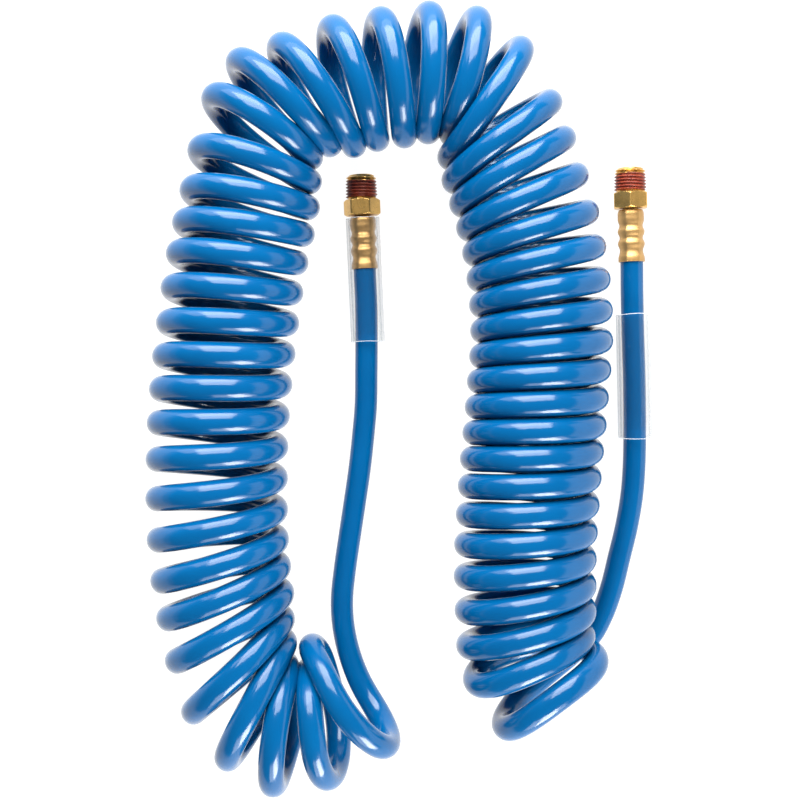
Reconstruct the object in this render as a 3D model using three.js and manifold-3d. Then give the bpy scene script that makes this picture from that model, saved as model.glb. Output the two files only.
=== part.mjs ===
// Coiled recoil air hose: one long hose wound into a slender coil that lies on a
// surface as an upside-down U, with a straight tail, a crimped brass swivel fitting
// and a clear bend-restrictor sleeve at each end. Millimetres, +Z up, resting on z = 0.
import * as THREE from 'three';
import { mergeVertices } from 'three/addons/utils/BufferGeometryUtils.js';
import Module from 'manifold-3d';

const wasm = await Module();
wasm.setup();

// ---- driving dimensions ----
const hoseRadius = 5;
const coilRadius = 30; // outer radius of the wound coil
const coilGap = 0.6; // left between neighbouring solids of the coil
const coilSides = 16;
const coilStep = 9; // along the coil's middle line
const hoseSides = 8;

const axisHeight = 8.3; // fitting axis above the surface, so that the hex turns freely
const leftTilt = THREE.MathUtils.degToRad(2.5);
const rightTilt = THREE.MathUtils.degToRad(1.2);
const leftHexBack = [-16.7, 81.5];
const rightHexBack = [101.8, 84.6];
const centre = [1.36, -0.71]; // middle of the outline, moved to the origin

const threadPitch = 25.4 / 18; // 1/4-18 NPT
const threadLength = 10.7;
const threadTaper = 1 / 32; // radius per length
const threadCrestAtTip = 6.63;
const threadDepth = 1.0;
const hexLength = 7.2;
const hexAcrossFlats = 14.3;
const boreRadius = 2.5;
const stemBore = 2.2;
const ferruleLength = 23;
const ferruleWall = 0.6;
const clearance = 0.2;
const sleeveLength = 55.5;
const sleeveOuter = 7.5;
const sleeveInner = 6.5;
const roundSides = 16;

// Middle line of the coil, from the left foot over the arch to the right foot.
const coilLine = [
  [-20, -124.5], [-29, -134], [-41, -139.5], [-54, -138.5], [-66, -131], [-73.5, -116.5], [-77, -94],
  [-78.5, -62], [-78.5, -31.5], [-76.5, 0], [-73.5, 31.5], [-69, 62.5], [-61.5, 92], [-48.5, 117],
  [-28, 132.5], [-5, 138], [17, 135.5], [36, 120], [47.5, 96], [55, 69], [59, 37.5], [58, 10.5],
  [55.5, -21], [53.5, -52], [53, -83.5], [56.5, -106.5], [63.5, -123],
];

// Where each hose tail runs, from the coil to its ferrule.
const leftTail = [
  [-24.3, -107, 5.1], [-25.6, -98, 5.1], [-25.8, -88, 5.1], [-24.6, -76, 5.1], [-22.6, -62, 5.1],
  [-20.2, -46, 5.4], [-17.9, -30, 6.1], [-16.4, -16, 6.9], [-15.2, -2, 7.7], [-15, 12, 8],
  [-14.9, 28, 8.2], [-15.1, 44, 8.3], [-15.7, 57.6, 8.3],
];
const rightTail = [
  [85, -103.6, 5.1], [89.8, -95, 5.1], [93.8, -84, 5.1], [97.3, -70, 5.1], [100.6, -56, 5.4],
  [102.8, -42, 6.1], [103.6, -30, 6.8], [103.8, -18, 7.3], [103.7, -4, 7.7], [103.4, 12, 8],
  [102.8, 30, 8.2], [102.4, 48, 8.3], [102.3, 61, 8.3],
];

// Shares of the coil line that the solids of the coil take up, foot to foot.
const coilParts = [
  ['left_foot_coil', 0, 0.115],
  ['left_leg_coil_1', 0.115, 0.181],
  ['left_leg_coil_2', 0.181, 0.247],
  ['left_leg_coil_3', 0.247, 0.313],
  ['left_leg_coil_4', 0.313, 0.38],
  ['arch_coil_1', 0.38, 0.434],
  ['arch_coil_2', 0.434, 0.48],
  ['arch_coil_3', 0.48, 0.526],
  ['arch_coil_4', 0.526, 0.572],
  ['arch_coil_5', 0.572, 0.63],
  ['right_leg_coil_1', 0.63, 0.713],
  ['right_leg_coil_2', 0.713, 0.796],
  ['right_leg_coil_3', 0.796, 0.879],
  ['right_leg_coil_4', 0.879, 0.945],
  ['right_foot_coil', 0.945, 1],
];

// ---- materials ----
const hoseBlue = new THREE.MeshStandardMaterial({ color: 0x0a6fc0, roughness: 0.25 });
const brass = new THREE.MeshStandardMaterial({ color: 0xc8973c, roughness: 0.3, metalness: 1 });
const sealantRed = new THREE.MeshStandardMaterial({ color: 0xa8402c, roughness: 0.6 });
const sealBlack = new THREE.MeshStandardMaterial({ color: 0x151515, roughness: 0.7 });
const clearPlastic = new THREE.MeshStandardMaterial({
  color: 0xeef2f4, roughness: 0.15, transparent: true, opacity: 0.35,
});

// ---- helpers ----
function named(name, geometry, material) {
  const mesh = new THREE.Mesh(geometry, material);
  mesh.name = name;
  return mesh;
}

function toSolid(geometry) {
  const bare = geometry.clone();
  bare.deleteAttribute('normal');
  bare.deleteAttribute('uv');
  const merged = mergeVertices(bare, 1e-4);
  return new wasm.Manifold(new wasm.Mesh({
    numProp: 3,
    vertProperties: new Float32Array(merged.attributes.position.array),
    triVerts: new Uint32Array(merged.index.array),
  }));
}

function toGeometry(solid) {
  const mesh = solid.getMesh();
  const geometry = new THREE.BufferGeometry();
  geometry.setAttribute('position', new THREE.BufferAttribute(mesh.vertProperties, mesh.numProp));
  geometry.setIndex(new THREE.BufferAttribute(mesh.triVerts, 1));
  return geometry;
}

// A turned solid about +Y from [radius, y] points; a ring closes on its first point.
// The points run up the outside, so that the faces point out.
function turned(points, isRing) {
  const outline = points.map(([radius, y]) => new THREE.Vector2(radius, y));
  if (isRing) outline.push(outline[0].clone());
  return new THREE.LatheGeometry(outline, roundSides);
}

// A plain tube along a curve. A full arc gets two sides for each of its curveSegments.
function tube(curve, radius, sides, steps) {
  const section = new THREE.Shape();
  section.absarc(0, 0, radius, 0, 2 * Math.PI);
  return new THREE.ExtrudeGeometry(section, {
    steps, extrudePath: curve, curveSegments: sides / 2, bevelEnabled: false,
  });
}

function splineThrough(points) {
  return new THREE.CatmullRomCurve3(points.map((p) => new THREE.Vector3(...p)), false, 'centripetal');
}

// ---- the coil ----
// The stretch of a curve between two shares of its length.
class Stretch extends THREE.Curve {
  constructor(curve, from, to) {
    super();
    Object.assign(this, { curve, from, to });
  }

  getPoint(t, target) {
    return this.curve.getPointAt(THREE.MathUtils.lerp(this.from, this.to, t), target);
  }

  getTangent(t, target) {
    return this.curve.getTangentAt(THREE.MathUtils.lerp(this.from, this.to, t), target);
  }
}

function coilSolid(name, from, to) {
  const line = splineThrough(coilLine.map(([x, y]) => [x, y, coilRadius]));
  const halfGap = coilGap / 2 / line.getLength();
  const steps = Math.round((to - from) * line.getLength() / coilStep);
  const stretch = new Stretch(line, from + halfGap, to - halfGap);
  return named(name, tube(stretch, coilRadius, coilSides, steps), hoseBlue);
}

function tail(name, points) {
  const route = splineThrough(points);
  const steps = Math.round(route.getLength() / (5 * hoseRadius));
  return named(name, tube(route, hoseRadius, hoseSides, steps * 2), hoseBlue);
}

// ---- one end fitting, along +Y, with y = 0 at the back face of its hex ----
function threadOutline(offset, from, ridges) {
  const points = [];
  for (let i = 0; i < ridges; i += 1) {
    const y = from + i * threadPitch;
    const crest = threadCrestAtTip + (hexLength + threadLength - y) * threadTaper + offset;
    points.push([crest - threadDepth, y], [crest, y + threadPitch / 2]);
  }
  const end = from + ridges * threadPitch;
  const last = threadCrestAtTip + (hexLength + threadLength - end) * threadTaper + offset;
  points.push([last - threadDepth, end]);
  return points;
}

function swivelBody() {
  const tip = hexLength + threadLength;
  const shank = toSolid(turned([
    [0, hexLength - 1], [5.4, hexLength - 1], ...threadOutline(0, hexLength + 0.4, 7), [5.2, tip], [0, tip],
  ], false));
  const corner = hexAcrossFlats / Math.sqrt(3);
  const hexShape = new THREE.Shape();
  for (let i = 0; i < 6; i += 1) {
    const angle = THREE.MathUtils.degToRad(60 * i);
    const point = [corner * Math.cos(angle), corner * Math.sin(angle)];
    if (i === 0) hexShape.moveTo(...point);
    else hexShape.lineTo(...point);
  }
  const hexBlank = new THREE.ExtrudeGeometry(hexShape, { depth: hexLength, bevelEnabled: false });
  hexBlank.rotateX(-Math.PI / 2);
  const flat = hexAcrossFlats / 2;
  const chamfers = toSolid(turned([
    [0, 0], [flat - 0.1, 0], [corner + 0.1, 0.8], [corner + 0.1, hexLength - 0.8],
    [flat - 0.1, hexLength], [0, hexLength],
  ], false));
  const room = toSolid(turned([
    [0, -1], [3.3, -1], [3.3, 0.8], [5, 0.8], [5, 2.5], [4.6, 2.5], [4.6, 4.8],
    [boreRadius, 4.8], [boreRadius, tip + 1], [0, tip + 1],
  ], false));
  return toGeometry(toSolid(hexBlank).intersect(chamfers).add(shank).subtract(room));
}

function threadSealant() {
  const outside = threadOutline(0.4, hexLength + 0.4 + threadPitch, 4);
  const inside = threadOutline(0.15, hexLength + 0.4 + threadPitch, 4).reverse();
  return turned([...outside, ...inside], true);
}

function hoseStem() {
  const barbs = [];
  for (let i = 0; i < 4; i += 1) {
    barbs.push([2.8, -21 + i * 5], [3.3, -18 + i * 5], [2.8, -17.6 + i * 5]);
  }
  return turned([
    [stemBore, -22], [2.7, -22], ...barbs, [2.9, -1], [2.9, 1.1], [4.7, 1.1], [4.7, 2.2],
    [2.9, 2.2], [2.9, 4.5], [stemBore, 4.5],
  ], true);
}

function oRing() {
  const ring = new THREE.TorusGeometry(3.75, 0.6, 10, roundSides);
  ring.rotateX(Math.PI / 2);
  ring.translate(0, 3.5, 0);
  return toGeometry(toSolid(ring));
}

// Outside of the crimped ferrule, from its open end to the hex: a collar and three ridges.
const ferruleOutside = [
  [5.8, 0], [5.8, 1.2], [5.5, 3], [5.1, 4.6], [5.2, 6], [5.8, 7.4], [5.8, 8.6], [5.15, 10],
  [5.1, 11], [5.8, 12.6], [5.8, 13.8], [5.2, 15.2], [5.2, 16.4], [5.7, 18.2], [5.7, 21], [5.3, 23],
].map(([radius, s]) => [radius, s - ferruleLength - 0.5]);

function ferrule() {
  const inside = ferruleOutside.slice(0, -1).map(([radius, y]) => [radius - ferruleWall, y]);
  inside[inside.length - 1][1] += 1;
  return turned([
    ...ferruleOutside, [3.15, -0.5], [3.15, -1.2], [4.6, -1.2], ...inside.reverse().slice(1),
  ], true);
}

function hoseEnd() {
  const outside = ferruleOutside.slice(0, -2).map(([radius, y]) => [radius - ferruleWall - clearance, y]);
  const top = outside[outside.length - 1];
  return turned([
    [3.5, outside[0][1] + 0.05], [outside[0][0], outside[0][1] + 0.05], ...outside.slice(1),
    [top[0] - 0.2, -2], [3.5, -2],
  ], true);
}

function restrictorSleeve() {
  return turned([
    [sleeveInner, -sleeveLength], [sleeveOuter, -sleeveLength], [sleeveOuter, 0], [sleeveInner, 0],
  ], true);
}

function endFitting(side, [x, y], tilt, hexTurn, sleeveDrop) {
  const group = new THREE.Group();
  group.position.set(x, y, axisHeight);
  group.rotation.z = tilt;
  const turning = new THREE.Group();
  turning.rotation.y = hexTurn;
  turning.add(named(`${side}_swivel_body`, swivelBody(), brass));
  turning.add(named(`${side}_thread_sealant`, threadSealant(), sealantRed));
  group.add(turning);
  group.add(named(`${side}_hose_stem`, hoseStem(), brass));
  group.add(named(`${side}_o_ring`, oRing(), sealBlack));
  group.add(named(`${side}_ferrule`, ferrule(), brass));
  group.add(named(`${side}_hose_end`, hoseEnd(), hoseBlue));
  const sleeve = named(`${side}_restrictor_sleeve`, restrictorSleeve(), clearPlastic);
  sleeve.position.y = -sleeveDrop;
  group.add(sleeve);
  return group;
}

// ---- the whole hose ----
const hose = new THREE.Group();
for (const [name, from, to] of coilParts) hose.add(coilSolid(name, from, to));
hose.add(tail('left_tail', leftTail));
hose.add(tail('right_tail', rightTail));
hose.add(endFitting('left', leftHexBack, leftTilt, THREE.MathUtils.degToRad(-7.5), 0.6));
hose.add(endFitting('right', rightHexBack, rightTilt, THREE.MathUtils.degToRad(18), 46.2));
hose.position.set(-centre[0], -centre[1], 0);

const part = new THREE.Group();
part.add(hose);
export default part;
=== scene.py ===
"""A coiled recoil air hose, seen from straight above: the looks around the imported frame.

Lengths in the tables are millimetres in the design's own axes; CENTRE moves them to the frame.
"""

import math

import bpy
import numpy as np
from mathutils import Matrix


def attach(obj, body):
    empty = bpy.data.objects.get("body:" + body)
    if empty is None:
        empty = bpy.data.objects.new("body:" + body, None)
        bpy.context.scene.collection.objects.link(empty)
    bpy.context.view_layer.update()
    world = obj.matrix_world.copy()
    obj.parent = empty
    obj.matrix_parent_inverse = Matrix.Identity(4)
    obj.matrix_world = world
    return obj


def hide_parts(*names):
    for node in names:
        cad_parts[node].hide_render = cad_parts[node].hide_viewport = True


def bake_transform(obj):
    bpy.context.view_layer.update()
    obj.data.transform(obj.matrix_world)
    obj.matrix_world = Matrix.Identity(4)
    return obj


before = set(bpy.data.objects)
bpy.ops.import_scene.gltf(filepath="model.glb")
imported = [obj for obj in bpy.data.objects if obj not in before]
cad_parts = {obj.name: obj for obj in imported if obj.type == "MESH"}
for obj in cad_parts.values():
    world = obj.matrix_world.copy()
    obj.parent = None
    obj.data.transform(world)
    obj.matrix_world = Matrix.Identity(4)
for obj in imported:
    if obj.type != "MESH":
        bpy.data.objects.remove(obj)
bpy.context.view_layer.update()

MM = 0.001
CENTRE = np.array([1.36, -0.71, 0.0])  # middle of the outline in the design's axes

# ---- the hose ----
HOSE_RADIUS = 5.0
WINDING_RADIUS = 25.0  # from the middle of the coil to the middle of the hose
COIL_HEIGHT = 30.0  # of the coil's middle line
COIL_OVAL = (1.08, 1.03)  # how much wider the wound hose is, along the coil and across it
POINTS_PER_TURN = 48
HOSE_SIDES = 24
BEFORE_COIL, AFTER_COIL = -1.0, 1000.0  # the turn numbers given to the two tails
JUNCTION_REACH = 6  # points on each side over which the coil runs into its tail
JUNCTION_BELL = 3  # width of the bell that evens the hose out there, in points

# Where the coil's middle is at a turn, and which way the turn faces:
# (turn, x, y, direction from the turn's inner tip to its outer tip in degrees).
COIL_STATIONS = [
    (0.5, -20, -123, -45),
    (1, -23.5, -126.5, -48),
    (1.25, -26.8, -128.6, -51),
    (2, -37.3, -135, -81),
    (3, -53, -136, -94),
    (4, -63.5, -126, -116),
    (5, -70.5, -111, -134),
    (6, -73.5, -94.5, -147),
    (8, -77.5, -66.5, -160),
    (11, -78.5, -21.5, -174),
    (15, -74, 33.5, -180),
    (17, -70, 61, -184),
    (19, -64.5, 86.5, -188),
    (20, -62, 101, -195),
    (21, -58.5, 117.5, -210),
    (22, -50, 127.5, -222),
    (23, -35, 130.5, -232),
    (24, -19.5, 135.5, -247),
    (25, -3.5, 137.5, -257),
    (26, 12, 139.5, -269),
    (27, 27.5, 137, -280),
    (28, 37, 126.5, -303),
    (29, 42.5, 110, -321),
    (30, 47, 97.5, -327),
    (32, 54.5, 71.5, -340),
    (35, 59, 34.5, -350),
    (38, 57, 0, -355),
    (41, 54, -33.5, -355),
    (44, 52, -69.5, -350),
    (46, 52.5, -95, -341),
    (47, 53, -107.5, -335),
    (47.5, 54.6, -108.4, -332),
    (48, 60.8, -120.2, -319.5),
    (48.5, 64.2, -121.7, -319),
]
# The straight ends, from the coil to the ferrule.
LEFT_TAIL = [
    (-24.3, -107, 5.1), (-25.6, -98, 5.1), (-25.8, -88, 5.1), (-24.6, -76, 5.1), (-22.6, -62, 5.1),
    (-20.2, -46, 5.4), (-17.9, -30, 6.1), (-16.4, -16, 6.9), (-15.2, -2, 7.7), (-15, 12, 8),
    (-14.9, 28, 8.2), (-15.1, 44, 8.3), (-15.7, 57.6, 8.3),
]
RIGHT_TAIL = [
    (74.5, -112.6, 5.1),
    (85, -103.6, 5.1), (89.8, -95, 5.1), (93.8, -84, 5.1), (97.3, -70, 5.1), (100.6, -56, 5.4),
    (102.8, -42, 6.1), (103.6, -30, 6.8), (103.8, -18, 7.3), (103.7, -4, 7.7), (103.4, 12, 8),
    (102.8, 30, 8.2), (102.4, 48, 8.3), (102.3, 61, 8.3),
]
INTO_FERRULE = 3.0  # how far the hose reaches into its ferrule
LEFT_STRETCH_TURNS = (5.5, 18.0)  # the turns that move apart when a leg is pulled
RIGHT_STRETCH_TURNS = (32.0, 46.5)

# ---- end fittings ----
AXIS_HEIGHT = 8.3
TILT = {"left": math.radians(2.5), "right": math.radians(1.2)}
HEX_BACK = {"left": (-16.7, 81.5), "right": (101.8, 84.6)}
HEX_TURN = {"left": math.radians(-7.5), "right": math.radians(18)}
SLEEVE_DROP = {"left": 0.6, "right": 46.2}
THREAD_PITCH = 25.4 / 18
THREAD_LENGTH = 10.7
THREAD_CREST_AT_TIP = 6.63
THREAD_TAPER = 1 / 32  # how much the radius grows along the thread
THREAD_DEPTH = 1.0
HEX_LENGTH = 7.2
HEX_ACROSS_FLATS = 14.3
FERRULE_LENGTH = 23.0
SLEEVE_LENGTH = 55.5
SLEEVE_OUTER = 7.5
SLEEVE_INNER = 6.5
FITTING_SIDES = 192  # of the hex and the thread


# ---------------------------------------------------------------- camera
def make_camera():
    height = 0.570
    view_width = 0.3556  # across the picture, 5 mm above the floor
    below = (-0.0204, 0.0178)  # the point straight below the camera, in the design's axes
    data = bpy.data.cameras.new("camera")
    data.angle = 2 * math.atan(view_width / 2 / (height - HOSE_RADIUS * MM))
    data.shift_x, data.shift_y = -below[0] / view_width, -below[1] / view_width
    camera = bpy.data.objects.new("camera", data)
    camera.location = (below[0] - CENTRE[0] * MM, below[1] - CENTRE[1] * MM, height)
    bpy.context.collection.objects.link(camera)
    bpy.context.scene.camera = camera


# ---------------------------------------------------------------- mesh helpers
def linked(name, mesh):
    piece = bpy.data.objects.new(name, mesh)
    bpy.context.collection.objects.link(piece)
    return piece


def grid_mesh(name, rings, closed_loop=False, sharp_deg=None):
    """A mesh over rings of points, each ring closed on itself."""
    rings = np.asarray(rings, float)
    count, sides = rings.shape[:2]
    last = count if closed_loop else count - 1
    faces = []
    for i in range(last):
        a, b = i * sides, (i + 1) % count * sides
        for k in range(sides):
            n = (k + 1) % sides
            faces.append((a + k, a + n, b + n, b + k))
    mesh = bpy.data.meshes.new(name)
    mesh.from_pydata((rings.reshape(-1, 3) * MM).tolist(), [], faces)
    mesh.shade_smooth()
    if sharp_deg is not None:
        mesh.set_sharp_from_angle(angle=math.radians(sharp_deg))
    mesh.validate()
    return linked(name, mesh)


def hermite(stations, at):
    """A smooth curve through rows of (parameter, values...), at the given parameters."""
    table = np.array(stations, float)
    knots, values = table[:, 0], table[:, 1:]
    steps = np.diff(knots)[:, None]
    slopes = np.diff(values, axis=0) / steps
    tangents = np.empty_like(values)
    tangents[1:-1] = (slopes[:-1] * steps[1:] + slopes[1:] * steps[:-1]) / (steps[:-1] + steps[1:])
    tangents[0], tangents[-1] = slopes[0], slopes[-1]
    i = np.clip(np.searchsorted(knots, at, side="right") - 1, 0, len(knots) - 2)
    h = steps[i]
    t = (np.asarray(at)[:, None] - knots[i][:, None]) / h
    return (
        (2 * t**3 - 3 * t**2 + 1) * values[i]
        + (t**3 - 2 * t**2 + t) * h * tangents[i]
        + (3 * t**2 - 2 * t**3) * values[i + 1]
        + (t**3 - t**2) * h * tangents[i + 1]
    )


def along(line):
    """The distance from the line's start to each of its points."""
    return np.concatenate([[0], np.cumsum(np.linalg.norm(np.diff(line, axis=0), axis=1))])


def resampled(line, step):
    """The line with evenly spaced points about step apart."""
    at = along(line)
    even = np.linspace(0, at[-1], max(2, round(at[-1] / step) + 1))
    return hermite(np.column_stack([at, line]), even)


# ---------------------------------------------------------------- the hose's route
def coil_route():
    """The hose's middle line through all the turns, with each point's turn and coil direction."""
    first, last = COIL_STATIONS[0][0], COIL_STATIONS[-1][0]
    turns = np.linspace(first, last, round((last - first) * POINTS_PER_TURN) + 1)
    smooth = hermite(COIL_STATIONS, turns)
    middle, facing = smooth[:, :2], np.radians(smooth[:, 2])
    travel = np.gradient(middle, turns, axis=0)
    outward = 2 * WINDING_RADIUS * np.column_stack([np.cos(facing), np.sin(facing)]) + travel / 2
    outward /= np.linalg.norm(outward, axis=1)[:, None]
    angle = 2 * math.pi * turns + math.pi / 2
    flat = middle + WINDING_RADIUS * np.cos(angle)[:, None] * outward
    height = COIL_HEIGHT + WINDING_RADIUS * np.sin(angle)
    axial = np.column_stack([-outward[:, 1], outward[:, 0], np.zeros(len(turns))])
    return np.column_stack([flat, height]), turns, axial


def fitting_point(side, y):
    """A point on the fitting's axis, y along it from the back of the hex."""
    x0, y0 = HEX_BACK[side]
    return np.array([x0 - math.sin(TILT[side]) * y, y0 + math.cos(TILT[side]) * y, AXIS_HEIGHT])


def whole_route():
    """The hose from the left ferrule to the right one, with turn numbers and coil directions."""
    coil, turns, axial = coil_route()
    step = 2 * math.pi * WINDING_RADIUS / POINTS_PER_TURN
    ends = []
    for side, tail in (("left", LEFT_TAIL), ("right", RIGHT_TAIL)):
        inside = [fitting_point(side, -FERRULE_LENGTH + s) for s in (1.2, INTO_FERRULE)]
        points = np.array([*tail, *inside])
        joined = coil[0] if side == "left" else coil[-1]
        points = np.vstack([joined, points])
        ends.append(resampled(points, step))
    left, right = ends[0][::-1], ends[1]
    line = np.vstack([left[:-1], coil, right[1:]])
    number = np.concatenate([
        np.full(len(left) - 1, BEFORE_COIL), turns, np.full(len(right) - 1, AFTER_COIL),
    ])
    along_coil = np.zeros_like(line)
    along_coil[len(left) - 1:len(left) - 1 + len(coil)] = axial
    return line, number, along_coil


def smoothed(values, reach):
    """The values averaged along the hose with a bell-shaped weight."""
    k = np.arange(-3 * reach, 3 * reach + 1)
    weight = np.exp(-(k**2) / (2 * reach**2))
    weight /= weight.sum()
    padded = np.pad(values, ((3 * reach, 3 * reach), (0, 0)), mode="edge")
    return np.column_stack([np.convolve(padded[:, j], weight, mode="valid") for j in range(3)])


def touching_pairs(line, within, apart):
    """Pairs of points, at least apart steps along the hose, that are nearer than within."""
    first, second = [], []
    block = 256
    for start in range(0, len(line), block):
        part = line[start:start + block]
        distance = np.linalg.norm(part[:, None] - line[None], axis=2)
        i, j = np.nonzero(distance < within)
        i = i + start
        keep = j - i >= apart
        first.append(i[keep])
        second.append(j[keep])
    return np.concatenate(first), np.concatenate(second)


def settled(line, hold):
    """The route with its turns pushed apart where they would run through each other."""
    rest = line.copy()
    rounds = 160
    look_within = 2.6 * HOSE_RADIUS
    keep_apart = 2.03 * HOSE_RADIUS
    spring_back = 0.01  # the share of its way back to the route that each point makes per round
    spread = 3  # a push is spread over this many points on each side
    for count in range(rounds):
        if count % 10 == 0:
            i, j = touching_pairs(line, look_within, POINTS_PER_TURN // 4)
        gap = line[j] - line[i]
        distance = np.maximum(np.linalg.norm(gap, axis=1), 1e-6)
        depth = np.maximum(keep_apart - distance, 0)
        push = (gap / distance[:, None]) * (depth / 2)[:, None]
        move = np.zeros_like(line)
        for k in range(3):
            move[:, k] = np.bincount(j, push[:, k], len(line)) - np.bincount(i, push[:, k], len(line))
        hits = np.ones(len(line))
        hits += np.bincount(i, depth > 0, len(line)) + np.bincount(j, depth > 0, len(line))
        move /= np.sqrt(hits)[:, None]
        line = line + smoothed(move, spread) * hold[:, None]
        line += spring_back * (rest - line)
        line[:, 2] = np.maximum(line[:, 2], HOSE_RADIUS)
    return line


def tube_rings(line, radius, sides, along_coil):
    """Rings of points around a line, with no twist along it, slightly oval in the coil."""
    tangent = np.gradient(line, axis=0)
    tangent /= np.linalg.norm(tangent, axis=1)[:, None]
    up = np.cross(tangent[0], (0.0, 0.0, 1.0))
    up /= np.linalg.norm(up)
    angle = np.linspace(0, 2 * math.pi, sides, endpoint=False)
    rings = []
    wide, flat = COIL_OVAL
    for point, direction, axial in zip(line, tangent, along_coil):
        up = up - direction * up.dot(direction)
        up /= np.linalg.norm(up)
        side = np.cross(direction, up)
        ring = radius * (np.cos(angle)[:, None] * up + np.sin(angle)[:, None] * side)
        across = np.cross(direction, axial)
        wider = (wide - 1) * (ring @ axial)[:, None] * axial
        flatter = (flat - 1) * (ring @ across)[:, None] * across
        rings.append(point + (ring + (wider + flatter)))
    return np.array(rings)


def make_hose():
    """The hose in five pieces: two ends, two legs over the turns that move apart when a leg is pulled, and
    the arch between them.
    """
    line, number, along_coil = whole_route()
    hold = np.ones(len(line))
    reach = 40  # points at each end that stay in line with the fittings
    hold[:reach] = hold[-reach:] = 0
    line = settled(line, hold)
    for end in np.flatnonzero(np.abs(np.diff(number)) > 1):  # where the coil meets each tail
        near = np.exp(-(((np.arange(len(line)) - end) / JUNCTION_REACH) ** 2))[:, None]
        line = line + (smoothed(line, JUNCTION_BELL) - line) * near
    line[:, 2] = np.maximum(line[:, 2], HOSE_RADIUS)
    rings = tube_rings(line - CENTRE, HOSE_RADIUS, HOSE_SIDES, smoothed(along_coil, 4))
    cuts = np.searchsorted(number, [*LEFT_STRETCH_TURNS, *RIGHT_STRETCH_TURNS])
    bounds = [0, *cuts, len(line) - 1]
    names = ["hose_left_end", "hose_left_leg", "hose_arch", "hose_right_leg", "hose_right_end"]
    pieces = {}
    for name, start, stop in zip(names, bounds[:-1], bounds[1:]):
        piece = grid_mesh(name, rings[start:stop + 1])
        pieces[name] = (piece, (line[start:stop + 1] - CENTRE) * MM)
    return pieces


# ---------------------------------------------------------------- fittings
def fitted(rings, side, turn=0.0, shift=0.0):
    """Rings around the +Y axis, moved to the fitting of that side."""
    rings = np.array(rings, float)
    x, y, z = rings[..., 0], rings[..., 1] + shift, rings[..., 2]
    x, z = x * math.cos(turn) + z * math.sin(turn), z * math.cos(turn) - x * math.sin(turn)
    c, s = math.cos(TILT[side]), math.sin(TILT[side])
    x0, y0 = HEX_BACK[side]
    moved = np.stack([x0 + c * x - s * y, y0 + s * x + c * y, z + AXIS_HEIGHT], axis=-1)
    return moved - CENTRE


def ring_at(radius, y, angle):
    """One ring around the +Y axis; radius and y may differ round the ring."""
    sides = len(angle)
    y_all_round = np.broadcast_to(np.asarray(y, float), sides)
    return np.column_stack([radius * np.cos(angle), y_all_round, -radius * np.sin(angle)])


def round_rings(profile, sides=96, shape=None):
    """Rings from [radius, y] points; shape(radius, y, angle) may change the radius round the ring."""
    angle = np.linspace(0, 2 * math.pi, sides, endpoint=False)
    rings = []
    for radius, y in profile:
        r = float(radius) if shape is None else shape(radius, y, angle)
        rings.append(ring_at(r, y, angle))
    return rings


def thread_crest(y):
    """The radius of the thread's crests, on the standard taper."""
    return THREAD_CREST_AT_TIP + (HEX_LENGTH + THREAD_LENGTH - y) * THREAD_TAPER


def thread_radius(y, angle):
    """The thread's radius, a helix with small flats on its crests and roots."""
    flat = 0.12  # share of the pitch
    phase = (y / THREAD_PITCH + angle / (2 * math.pi)) % 1.0
    tooth = 1 - np.abs(2 * phase - 1)
    tooth = np.clip((tooth - flat) / (1 - 2 * flat), 0, 1)
    run_in = np.clip((HEX_LENGTH + THREAD_LENGTH - y) / 1.2, 0, 1)
    run_out = np.clip(y - HEX_LENGTH - 0.2, 0, 1)
    return thread_crest(y) - THREAD_DEPTH + THREAD_DEPTH * tooth * run_in * run_out


def hex_radius(angle):
    """The hexagon's radius, with slightly eased corners."""
    flat = HEX_ACROSS_FLATS / 2
    turn = (angle + math.pi / 6) % (math.pi / 3) - math.pi / 6
    turn = math.pi / 6 - np.abs(turn)
    return np.minimum(flat / np.cos(turn), flat / math.cos(math.pi / 6) - 0.14)


def make_swivel_body(side):
    """Hex and male thread, hollow, with the chamber that holds the stem's flange and seal."""
    flat = HEX_ACROSS_FLATS / 2
    corner = flat / math.cos(math.pi / 6)
    chamfer = 0.85
    tip = HEX_LENGTH + THREAD_LENGTH
    rings = round_rings([
        (2.5, 4.8), (4.6, 4.8), (4.6, 2.5), (5, 2.5), (5, 0.8), (3.3, 0.8), (3.3, 0.15), (3.45, 0),
        (flat - 0.35, 0.0), (flat - 0.25, 0.04),
    ], FITTING_SIDES)

    def hexagon(radius, y, angle):
        end = min(y, HEX_LENGTH - y) / chamfer
        cone = flat - 0.1 + (corner - flat + 0.1) * min(end, 1.0)
        return np.minimum(hex_radius(angle), cone)

    end_steps = [0.06, 0.25, 0.45, 0.65, chamfer, 1.1]
    hex_heights = [*end_steps, 2.4, 3.6, 4.8, *(HEX_LENGTH - y for y in end_steps[::-1])]
    rings += round_rings([(0, y) for y in hex_heights], FITTING_SIDES, hexagon)
    rings += round_rings([
        (flat - 0.25, HEX_LENGTH), (6.25, HEX_LENGTH), (6.05, HEX_LENGTH + 0.12),
    ], FITTING_SIDES)
    thread_heights = np.arange(HEX_LENGTH + 0.2, tip - 0.5, THREAD_PITCH / 14)
    rings += round_rings(
        [(0, y) for y in thread_heights], FITTING_SIDES, lambda radius, y, angle: thread_radius(y, angle),
    )
    rings += round_rings([
        (5.5, tip - 0.3), (5.25, tip - 0.05), (5.1, tip), (2.9, tip), (2.6, tip - 0.2), (2.5, tip - 0.5),
    ], FITTING_SIDES)
    return grid_mesh(f"{side}_swivel_male", fitted(rings, side, HEX_TURN[side]), True, 35)


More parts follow.
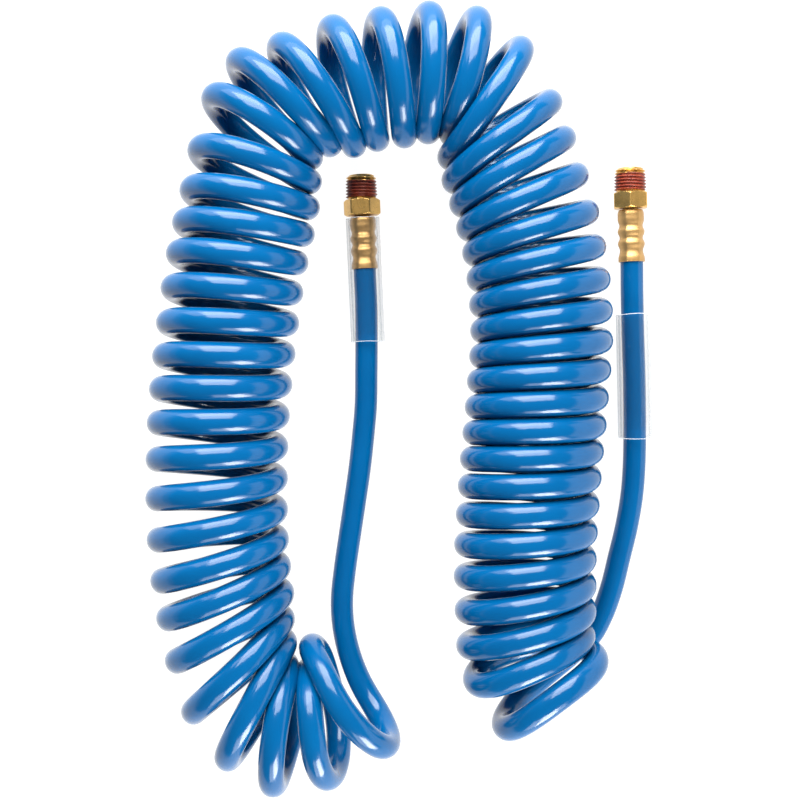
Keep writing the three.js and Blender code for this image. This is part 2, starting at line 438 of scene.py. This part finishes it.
def make_sealant(side, seed):
    """A dried skin over the middle threads, thicker in the grooves, with uneven ends."""
    rng = np.random.default_rng(seed)
    waves = rng.uniform(0, 2 * math.pi, 8)
    low, high = HEX_LENGTH + 0.55, HEX_LENGTH + THREAD_LENGTH - 2.7

    def ragged(angle, start):
        return sum(np.sin((n + 2) * angle + waves[start + n]) * (0.16 / (n + 1)) for n in range(4))

    angle = np.linspace(0, 2 * math.pi, FITTING_SIDES, endpoint=False)
    bottom, top = low + ragged(angle, 0), high + ragged(angle, 4)
    on_crest, in_groove = 0.07, 0.16  # the skin's thickness, and how much more a groove holds
    thin_end = 0.03  # the share of the length over which each end thins out
    sunk_end = 0.02
    rings = []
    for t in np.linspace(0, 1, 85):
        y = bottom + (top - bottom) * t
        base = thread_radius(y, angle)
        fill = np.clip((thread_crest(y) - base) / THREAD_DEPTH, 0, 1)
        from_end = min(t, 1 - t)
        skin = (on_crest + in_groove * fill) * (min(from_end, thin_end) / thin_end)
        rings.append(ring_at(base + skin - (sunk_end if from_end == 0 else 0), y, angle))
    for y in (top, bottom):
        rings.append(ring_at(thread_radius(y, angle) - 0.35, y, angle))
    return grid_mesh(f"{side}_sealant_skin", fitted(rings, side, HEX_TURN[side]), True, 60)


# The crimped ferrule's outside, from its open end: a collar and three ridges.
FERRULE_OUTSIDE = [
    (0, 5.8), (1.2, 5.8), (2.2, 5.72), (3.4, 5.35), (4.6, 5.08), (5.6, 5.12), (6.6, 5.5), (7.6, 5.84),
    (8.4, 5.84), (9.2, 5.55), (10, 5.15), (10.6, 5.06), (11.2, 5.15), (12.2, 5.6), (13, 5.84),
    (13.8, 5.82), (14.8, 5.4), (15.6, 5.15), (16.4, 5.15), (17.4, 5.5), (18.4, 5.72), (20, 5.74),
    (21.4, 5.72), (22.3, 5.5),
]
FERRULE_WALL = 0.6
CRIMP_TURN = {"left": math.radians(-1), "right": math.radians(5)}  # of the six jaw marks
CRIMP_DEPTH = 0.38  # 1 would make the crimp a full hexagon


def make_ferrule(side, seed):
    """The crimped ferrule: ridges along it, and round it the faint marks of six jaws."""
    rng = np.random.default_rng(seed)
    phase = rng.uniform(0, 2 * math.pi, 2)
    start = -FERRULE_LENGTH - 0.5
    stations = [(s, s + start, r) for s, r in FERRULE_OUTSIDE]
    at = np.linspace(0, FERRULE_OUTSIDE[-1][0], 110)
    outside = hermite(stations, at)

    def crimped(radius, y, angle):
        turn = (angle + CRIMP_TURN[side]) % (math.pi / 3) - math.pi / 6
        flat = math.cos(math.pi / 6) / np.cos(turn)
        uneven = np.cos(3 * angle + phase[0]) * 0.03 + np.cos(2 * angle + phase[1]) * 0.02
        return radius * (1 - CRIMP_DEPTH * (1 - flat)) + uneven

    outer = [(r, y) for y, r in outside]
    inner = [(r - FERRULE_WALL, y) for y, r in outside]
    rings = round_rings([(5.35, start + 0.02), (5.65, start + 0.02), (5.78, start + 0.12)], 96)
    rings += round_rings(outer[1:], 96, crimped)
    rings += round_rings([(5.1, -0.62), (4.6, -0.5), (3.15, -0.5), (3.15, -1.2), (4.4, -1.2)], 96)
    rings += round_rings(inner[::-1], 96, crimped)
    return grid_mesh(f"{side}_crimped_ferrule", fitted(rings, side), True, 40)


def make_stem(side):
    """The stem: four barbs inside the hose, and the flange that the swivel body holds."""
    profile = [(2.2, -22), (2.35, -22.15), (2.7, -22)]
    barb_pitch = 5
    for i in range(4):
        base = -21 + barb_pitch * i
        profile += [(2.8, base), (3.28, base + 2.9), (3.28, base + 3.05), (2.8, base + 3.4)]
    profile += [
        (2.9, -1), (2.9, 1.1), (4.6, 1.1), (4.7, 1.2), (4.7, 2.1), (4.6, 2.2), (2.9, 2.2), (2.9, 4.4),
        (2.8, 4.5), (2.3, 4.5), (2.2, 4.4),
    ]
    return grid_mesh(f"{side}_barbed_stem", fitted(round_rings(profile, 64), side), True, 35)


def make_o_ring(side):
    thickness, ring_radius, ring_y = 1.2, 3.75, 3.5
    turns = np.linspace(0, 2 * math.pi, 20, endpoint=False)
    half = thickness / 2
    profile = [(ring_radius + half * math.cos(a), ring_y + half * math.sin(a)) for a in turns]
    return grid_mesh(f"{side}_seal_ring", fitted(round_rings(profile, 64), side), True)


def make_hose_tip(side):
    """The last of the hose between stem and ferrule, where the crimp squeezes it."""
    start = -FERRULE_LENGTH - 0.5
    flattest = 0.95  # the least radius at a jaw mark, as a share of the ferrule's own
    gap = 0.12
    outer = [(flattest * r - FERRULE_WALL - gap, s + start) for s, r in FERRULE_OUTSIDE[1:-3]]
    profile = [(3.5, outer[0][1]), *outer, (4.5, -2.1), (3.5, -2.0)]
    return grid_mesh(f"{side}_squeezed_hose", fitted(round_rings(profile, 48), side), True, 50)


def make_sleeve(side, seed):
    """A clear tube with slightly uneven cut ends."""
    rng = np.random.default_rng(seed)
    waves = rng.uniform(0, 2 * math.pi, 6)
    sides = 96
    angle = np.linspace(0, 2 * math.pi, sides, endpoint=False)

    def cut(k):
        return 0.22 * np.sin(angle + waves[k]) + 0.07 * np.sin(3 * angle + waves[k + 1])

    def wall(radius, shares):
        length = top - bottom - 2 * edge
        return [ring_at(radius, bottom + edge + length * share, angle) for share in shares]

    edge = 0.25  # of the bevels at the cut ends
    wall_rings = 24
    shares = np.linspace(0, 1, wall_rings)
    top, bottom = np.minimum(cut(0) - 0.3, 0.0), -SLEEVE_LENGTH + cut(3) + 0.3
    rings = [
        ring_at(SLEEVE_INNER, bottom + edge, angle),
        ring_at(SLEEVE_INNER + edge, bottom, angle),
        ring_at(SLEEVE_OUTER - edge, bottom, angle),
        *wall(SLEEVE_OUTER, shares),
        ring_at(SLEEVE_OUTER - edge, top, angle),
        ring_at(SLEEVE_INNER + edge, top, angle),
        *wall(SLEEVE_INNER, shares[:0:-1]),
    ]
    sleeve = grid_mesh(f"{side}_clear_sleeve", fitted(rings, side, 0, -SLEEVE_DROP[side]), True, 50)
    cut_strips = {0, 1, 2, wall_rings + 2, wall_rings + 3, wall_rings + 4}  # of faces across both cut ends
    for face in sleeve.data.polygons:
        face.material_index = int(face.index // sides in cut_strips)
    return sleeve


# ---------------------------------------------------------------- materials
def material(name):
    made = bpy.data.materials.new(name)
    made.use_nodes = True
    tree = made.node_tree
    return made, tree, tree.nodes["Principled BSDF"]


def node(tree, kind, **inputs):
    new = tree.nodes.new(kind)
    for key, value in inputs.items():
        new.inputs[key.replace("_", " ")].default_value = value
    return new


def noise(tree, scale, detail=3.0, roughness=0.55):
    place = tree.nodes.new("ShaderNodeTexCoord")
    made = node(tree, "ShaderNodeTexNoise", Scale=scale, Detail=detail, Roughness=roughness)
    tree.links.new(place.outputs["Object"], made.inputs["Vector"])
    return made


def ramp(tree, source, stops):
    made = tree.nodes.new("ShaderNodeValToRGB")
    elements = made.color_ramp.elements
    while len(elements) < len(stops):
        elements.new(0.5)
    for element, (at, color) in zip(elements, stops):
        element.position = at
        element.color = (*color, 1) if len(color) == 3 else color
    tree.links.new(source, made.inputs["Fac"])
    return made


def bump(tree, shader, source, strength, distance):
    made = node(tree, "ShaderNodeBump", Strength=strength, Distance=distance)
    tree.links.new(source, made.inputs["Height"])
    tree.links.new(made.outputs["Normal"], shader.inputs["Normal"])


def grey(value):
    return (value, value, value)


def hose_material():
    made, tree, shader = material("blue_polyurethane")
    clouds = noise(tree, 35.0)
    color = ramp(tree, clouds.outputs["Fac"], [(0.3, (0.0, 0.076, 0.218)), (0.7, (0.0, 0.088, 0.245))])
    tree.links.new(color.outputs["Color"], shader.inputs["Base Color"])
    smear = noise(tree, 220.0, 4.0)
    rough = ramp(tree, smear.outputs["Fac"], [(0.3, grey(0.13)), (0.75, grey(0.19))])
    tree.links.new(rough.outputs["Color"], shader.inputs["Roughness"])
    shader.inputs["IOR"].default_value = 1.42
    ripple = noise(tree, 900.0, 2.0)
    bump(tree, shader, ripple.outputs["Fac"], 0.05, 0.0002)
    return made


def brass_material(name, tint, metallic, smooth, rough):
    made, tree, shader = material(name)
    tarnish = noise(tree, 260.0, 4.0, 0.5)
    strengths = ((0.25, 0.8), (0.5, 1.0), (0.8, 1.15))
    stops = [(at, tuple(strength * part for part in tint)) for at, strength in strengths]
    color = ramp(tree, tarnish.outputs["Fac"], stops)
    tree.links.new(color.outputs["Color"], shader.inputs["Base Color"])
    shader.inputs["Metallic"].default_value = metallic
    wear = noise(tree, 1500.0, 3.0)
    gloss = ramp(tree, wear.outputs["Fac"], [(0.3, grey(smooth)), (0.75, grey(rough))])
    tree.links.new(gloss.outputs["Color"], shader.inputs["Roughness"])
    bump(tree, shader, wear.outputs["Fac"], 0.03, 0.0001)
    return made


def sealant_material():
    made, tree, shader = material("red_thread_sealant")
    patches = noise(tree, 700.0, 5.0, 0.65)
    color = ramp(tree, patches.outputs["Fac"], [
        (0.25, (0.11, 0.009, 0.004)), (0.5, (0.23, 0.030, 0.011)), (0.8, (0.36, 0.085, 0.030)),
    ])
    tree.links.new(color.outputs["Color"], shader.inputs["Base Color"])
    shader.inputs["Roughness"].default_value = 0.42
    bump(tree, shader, patches.outputs["Fac"], 0.35, 0.0002)
    return made


def rubber_material():
    made, tree, shader = material("black_seal_rubber")
    dust = noise(tree, 900.0, 3.0)
    color = ramp(tree, dust.outputs["Fac"], [(0.3, grey(0.012)), (0.8, grey(0.030))])
    tree.links.new(color.outputs["Color"], shader.inputs["Base Color"])
    shader.inputs["Roughness"].default_value = 0.55
    return made


def sleeve_material():
    """Clear plastic: nearly invisible face on, greyer where the wall is seen edge on."""
    made, tree, shader = material("clear_sleeve_plastic")
    shader.inputs["Base Color"].default_value = (0.56, 0.58, 0.575, 1)
    haze = noise(tree, 260.0, 4.0)
    rough = ramp(tree, haze.outputs["Fac"], [(0.35, grey(0.06)), (0.8, grey(0.16))])
    tree.links.new(rough.outputs["Color"], shader.inputs["Roughness"])
    facing = node(tree, "ShaderNodeLayerWeight", Blend=0.5)
    cover = ramp(tree, facing.outputs["Facing"], [
        (0.0, grey(0.004)), (0.22, grey(0.010)), (0.34, grey(0.13)), (1.0, grey(0.6)),
    ])
    tree.links.new(cover.outputs["Color"], shader.inputs["Alpha"])
    bump(tree, shader, haze.outputs["Fac"], 0.05, 0.0002)
    return made


def cut_edge_material():
    """The sleeve's sawn ends, frosted white."""
    made, tree, shader = material("frosted_cut_plastic")
    shader.inputs["Base Color"].default_value = (0.86, 0.88, 0.88, 1)
    shader.inputs["Roughness"].default_value = 0.6
    frost = noise(tree, 900.0, 3.0)
    cover = ramp(tree, frost.outputs["Fac"], [(0.35, grey(0.35)), (0.7, grey(0.75))])
    tree.links.new(cover.outputs["Color"], shader.inputs["Alpha"])
    return made


def floor_material():
    made, tree, shader = material("white_sweep")
    shader.inputs["Base Color"].default_value = (0.15, 0.15, 0.15, 1)
    shader.inputs["Roughness"].default_value = 0.9
    shader.inputs["Specular IOR Level"].default_value = 0.1
    shader.inputs["Emission Color"].default_value = (1, 1, 1, 1)
    shader.inputs["Emission Strength"].default_value = 0.98
    return made


# ---------------------------------------------------------------- stage
def make_stage():
    size = 3.0
    mesh = bpy.data.meshes.new("floor")
    corners = [(-size, -size, 0), (size, -size, 0), (size, size, 0), (-size, size, 0)]
    mesh.from_pydata(corners, [], [(0, 1, 2, 3)])
    floor = linked("floor", mesh)
    mesh.materials.append(floor_material())


def make_light(name, place, aim, size, power):
    data = bpy.data.lights.new(name, "AREA")
    data.shape = "RECTANGLE"
    data.size, data.size_y = size
    data.energy = power
    light = bpy.data.objects.new(name, data)
    bpy.context.collection.objects.link(light)
    light.location = place
    away = np.array(place, float) - np.array(aim, float)
    light.rotation_euler = (
        math.atan2(math.hypot(away[0], away[1]), away[2]), 0, math.atan2(away[1], away[0]) + math.pi / 2,
    )


def make_lights():
    world = bpy.data.worlds.new("studio")
    world.use_nodes = True
    sky = world.node_tree.nodes["Background"]
    sky.inputs["Color"].default_value = (1, 1, 1, 1)
    sky.inputs["Strength"].default_value = 0.12
    bpy.context.scene.world = world
    make_light("key_softbox", (-0.08, 0.74, 0.58), (0, 0, 0.05), (0.85, 0.85), 25)
    make_light("back_fade", (-0.30, 0.95, 0.36), (0, 0, 0.05), (1.3, 0.75), 12)
    make_light("fill_softbox", (0.30, -0.85, 0.34), (0, 0, 0.03), (0.36, 0.5), 10)
    make_light("fill_fade", (0.25, -0.95, 0.36), (0, 0, 0.03), (0.95, 0.6), 9)
    make_light("right_band", (0.90, 0.0, 0.28), (0, 0, 0.03), (1.6, 0.5), 3.5)
    make_light("left_band", (-0.90, 0.0, 0.12), (0, 0, 0.03), (1.5, 0.2), 0.4)
    bpy.context.scene.view_settings.view_transform = "Standard"


# ---------------------------------------------------------------- assembly
make_camera()
blue = hose_material()
hose = make_hose()
coil_nodes = {
    "hose_left_end": ["left_tail", "left_foot_coil"],
    "hose_left_leg": ["left_leg_coil_1", "left_leg_coil_2", "left_leg_coil_3"],
    "hose_arch": ["left_leg_coil_4", *(f"arch_coil_{n}" for n in range(1, 6)), "right_leg_coil_1"],
    "hose_right_leg": ["right_leg_coil_2", "right_leg_coil_3", "right_leg_coil_4"],
    "hose_right_end": ["right_tail", "right_foot_coil"],
}
for name, (piece, path) in hose.items():
    piece.data.materials.append(blue)
    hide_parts(*coil_nodes[name])
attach(hose["hose_left_end"][0], "left_end")
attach(hose["hose_arch"][0], "arch")
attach(hose["hose_right_end"][0], "right_end")
for side, rises in (("left", False), ("right", True)):
    piece, path = hose[f"hose_{side}_leg"]
    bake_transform(piece)

brass = brass_material("turned_brass", (0.68, 0.41, 0.12), 0.86, 0.27, 0.30)
crimped_brass = brass_material("crimped_brass", (0.50, 0.30, 0.11), 0.74, 0.40, 0.48)
sealant, rubber, clear, frosted = (
    sealant_material(), rubber_material(), sleeve_material(), cut_edge_material(),
)
for side, seed in (("left", 3), ("right", 8)):
    for piece, body, node_name, slot, look in (
        (make_swivel_body(side), "swivel", "swivel_body", "brass", brass),
        (make_sealant(side, seed), "swivel", "thread_sealant", "thread_sealant", sealant),
        (make_stem(side), "end", "hose_stem", "brass", brass),
        (make_o_ring(side), "end", "o_ring", "seal_rubber", rubber),
        (make_ferrule(side, seed), "end", "ferrule", "brass", crimped_brass),
        (make_hose_tip(side), "end", "hose_end", "hose_blue", blue),
        (make_sleeve(side, seed), "sleeve", "restrictor_sleeve", "clear_sleeve", clear),
    ):
        piece.data.materials.append(look)
        if look is clear:
            piece.data.materials.append(frosted)
        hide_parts(f"{side}_{node_name}")
        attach(piece, f"{side}_{body}")

make_stage()
make_lights()
